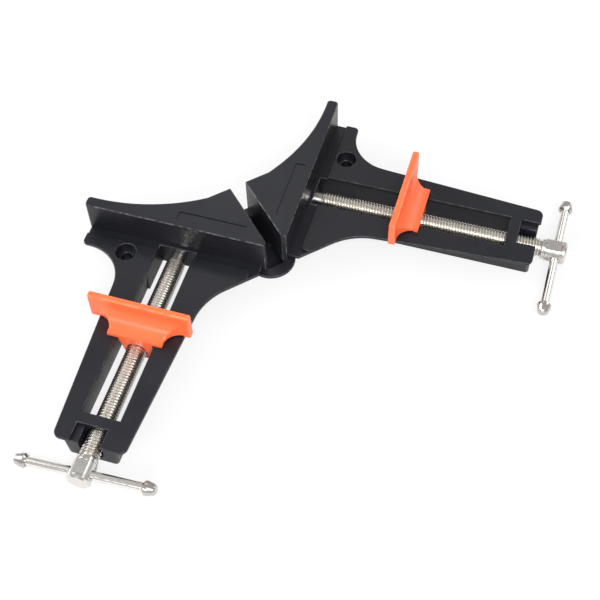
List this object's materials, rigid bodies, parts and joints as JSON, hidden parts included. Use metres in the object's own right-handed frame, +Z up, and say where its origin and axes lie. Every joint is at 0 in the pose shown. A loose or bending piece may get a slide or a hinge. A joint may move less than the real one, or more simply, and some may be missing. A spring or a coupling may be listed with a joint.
{
  "type": "corner clamp",
  "caption": "Right-angle corner clamp: cast body with an arm along each side, screw-driven sliding jaws, tommy-bar handles, saw slot at the corner and counterbored bench holes.",
  "frame": {"origin": "on the bench plane, midway between the two bench screw holes", "axes": "+Z up from the bench, +X outward along the right arm, -Y outward along the left arm"},
  "size_m": [0.1952, 0.1952, 0.025],
  "materials": {
    "black_coating": "satin black coating on die-cast aluminium",
    "orange_jaw": "satin orange",
    "insert_steel": "plain",
    "nickel": "bright nickel plate",
    "pin_steel": "plain",
    "washer_steel": "plain",
    "spring_steel": "dark spring steel"
  },
  "bodies": {
    "body": {"body_casting": "black_coating"},
    "right_jaw": {"right_sliding_jaw": "orange_jaw", "right_jaw_nut": "insert_steel"},
    "right_screw": {"right_spindle": "nickel", "right_spindle_head": "nickel", "right_head_pin": "pin_steel", "right_thrust_washer": "washer_steel", "right_retaining_clip": "spring_steel"},
    "right_bar": {"right_tommy_bar": "nickel", "right_bar_cap_outer": "nickel", "right_bar_cap_inner": "nickel"},
    "left_jaw": {"left_sliding_jaw": "orange_jaw", "left_jaw_nut": "insert_steel"},
    "left_screw": {"left_spindle": "nickel", "left_spindle_head": "nickel", "left_head_pin": "pin_steel", "left_thrust_washer": "washer_steel", "left_retaining_clip": "spring_steel"},
    "left_bar": {"left_tommy_bar": "nickel", "left_bar_cap_outer": "nickel", "left_bar_cap_inner": "nickel"}
  },
  "joints": [
    {"name": "right_screw_spin", "type": "hinge", "parent": "body", "child": "right_screw", "pos_m": [0.02785, 0.01715, 0.0055], "axis": [1, 0, 0], "range_deg": [-10137.8, 10829]},
    {"name": "right_jaw_slide", "type": "slide", "parent": "body", "child": "right_jaw", "axis": [1, 0, 0], "range_m": [-0.0376, 0.0352]},
    {"name": "right_bar_slide", "type": "slide", "parent": "right_screw", "child": "right_bar", "axis": [0, 0.9991, 0.0419], "range_m": [-0.0161, 0.0215]},
    {"name": "left_screw_spin", "type": "hinge", "parent": "body", "child": "left_screw", "pos_m": [-0.01715, -0.02785, 0.0055], "axis": [0, -1, 0], "range_deg": [-9792.2, 11174.6]},
    {"name": "left_jaw_slide", "type": "slide", "parent": "body", "child": "left_jaw", "axis": [0, -1, 0], "range_m": [-0.0388, 0.034]},
    {"name": "left_bar_slide", "type": "slide", "parent": "left_screw", "child": "left_bar", "axis": [-0.9945, 0, -0.1045], "range_m": [-0.0176, 0.02]}
  ],
  "couplings": [
    {"joint": "right_screw_spin", "follows": "right_jaw_slide", "rad_per_m": -5026.5},
    {"joint": "left_screw_spin", "follows": "left_jaw_slide", "rad_per_m": -5026.5}
  ]
}
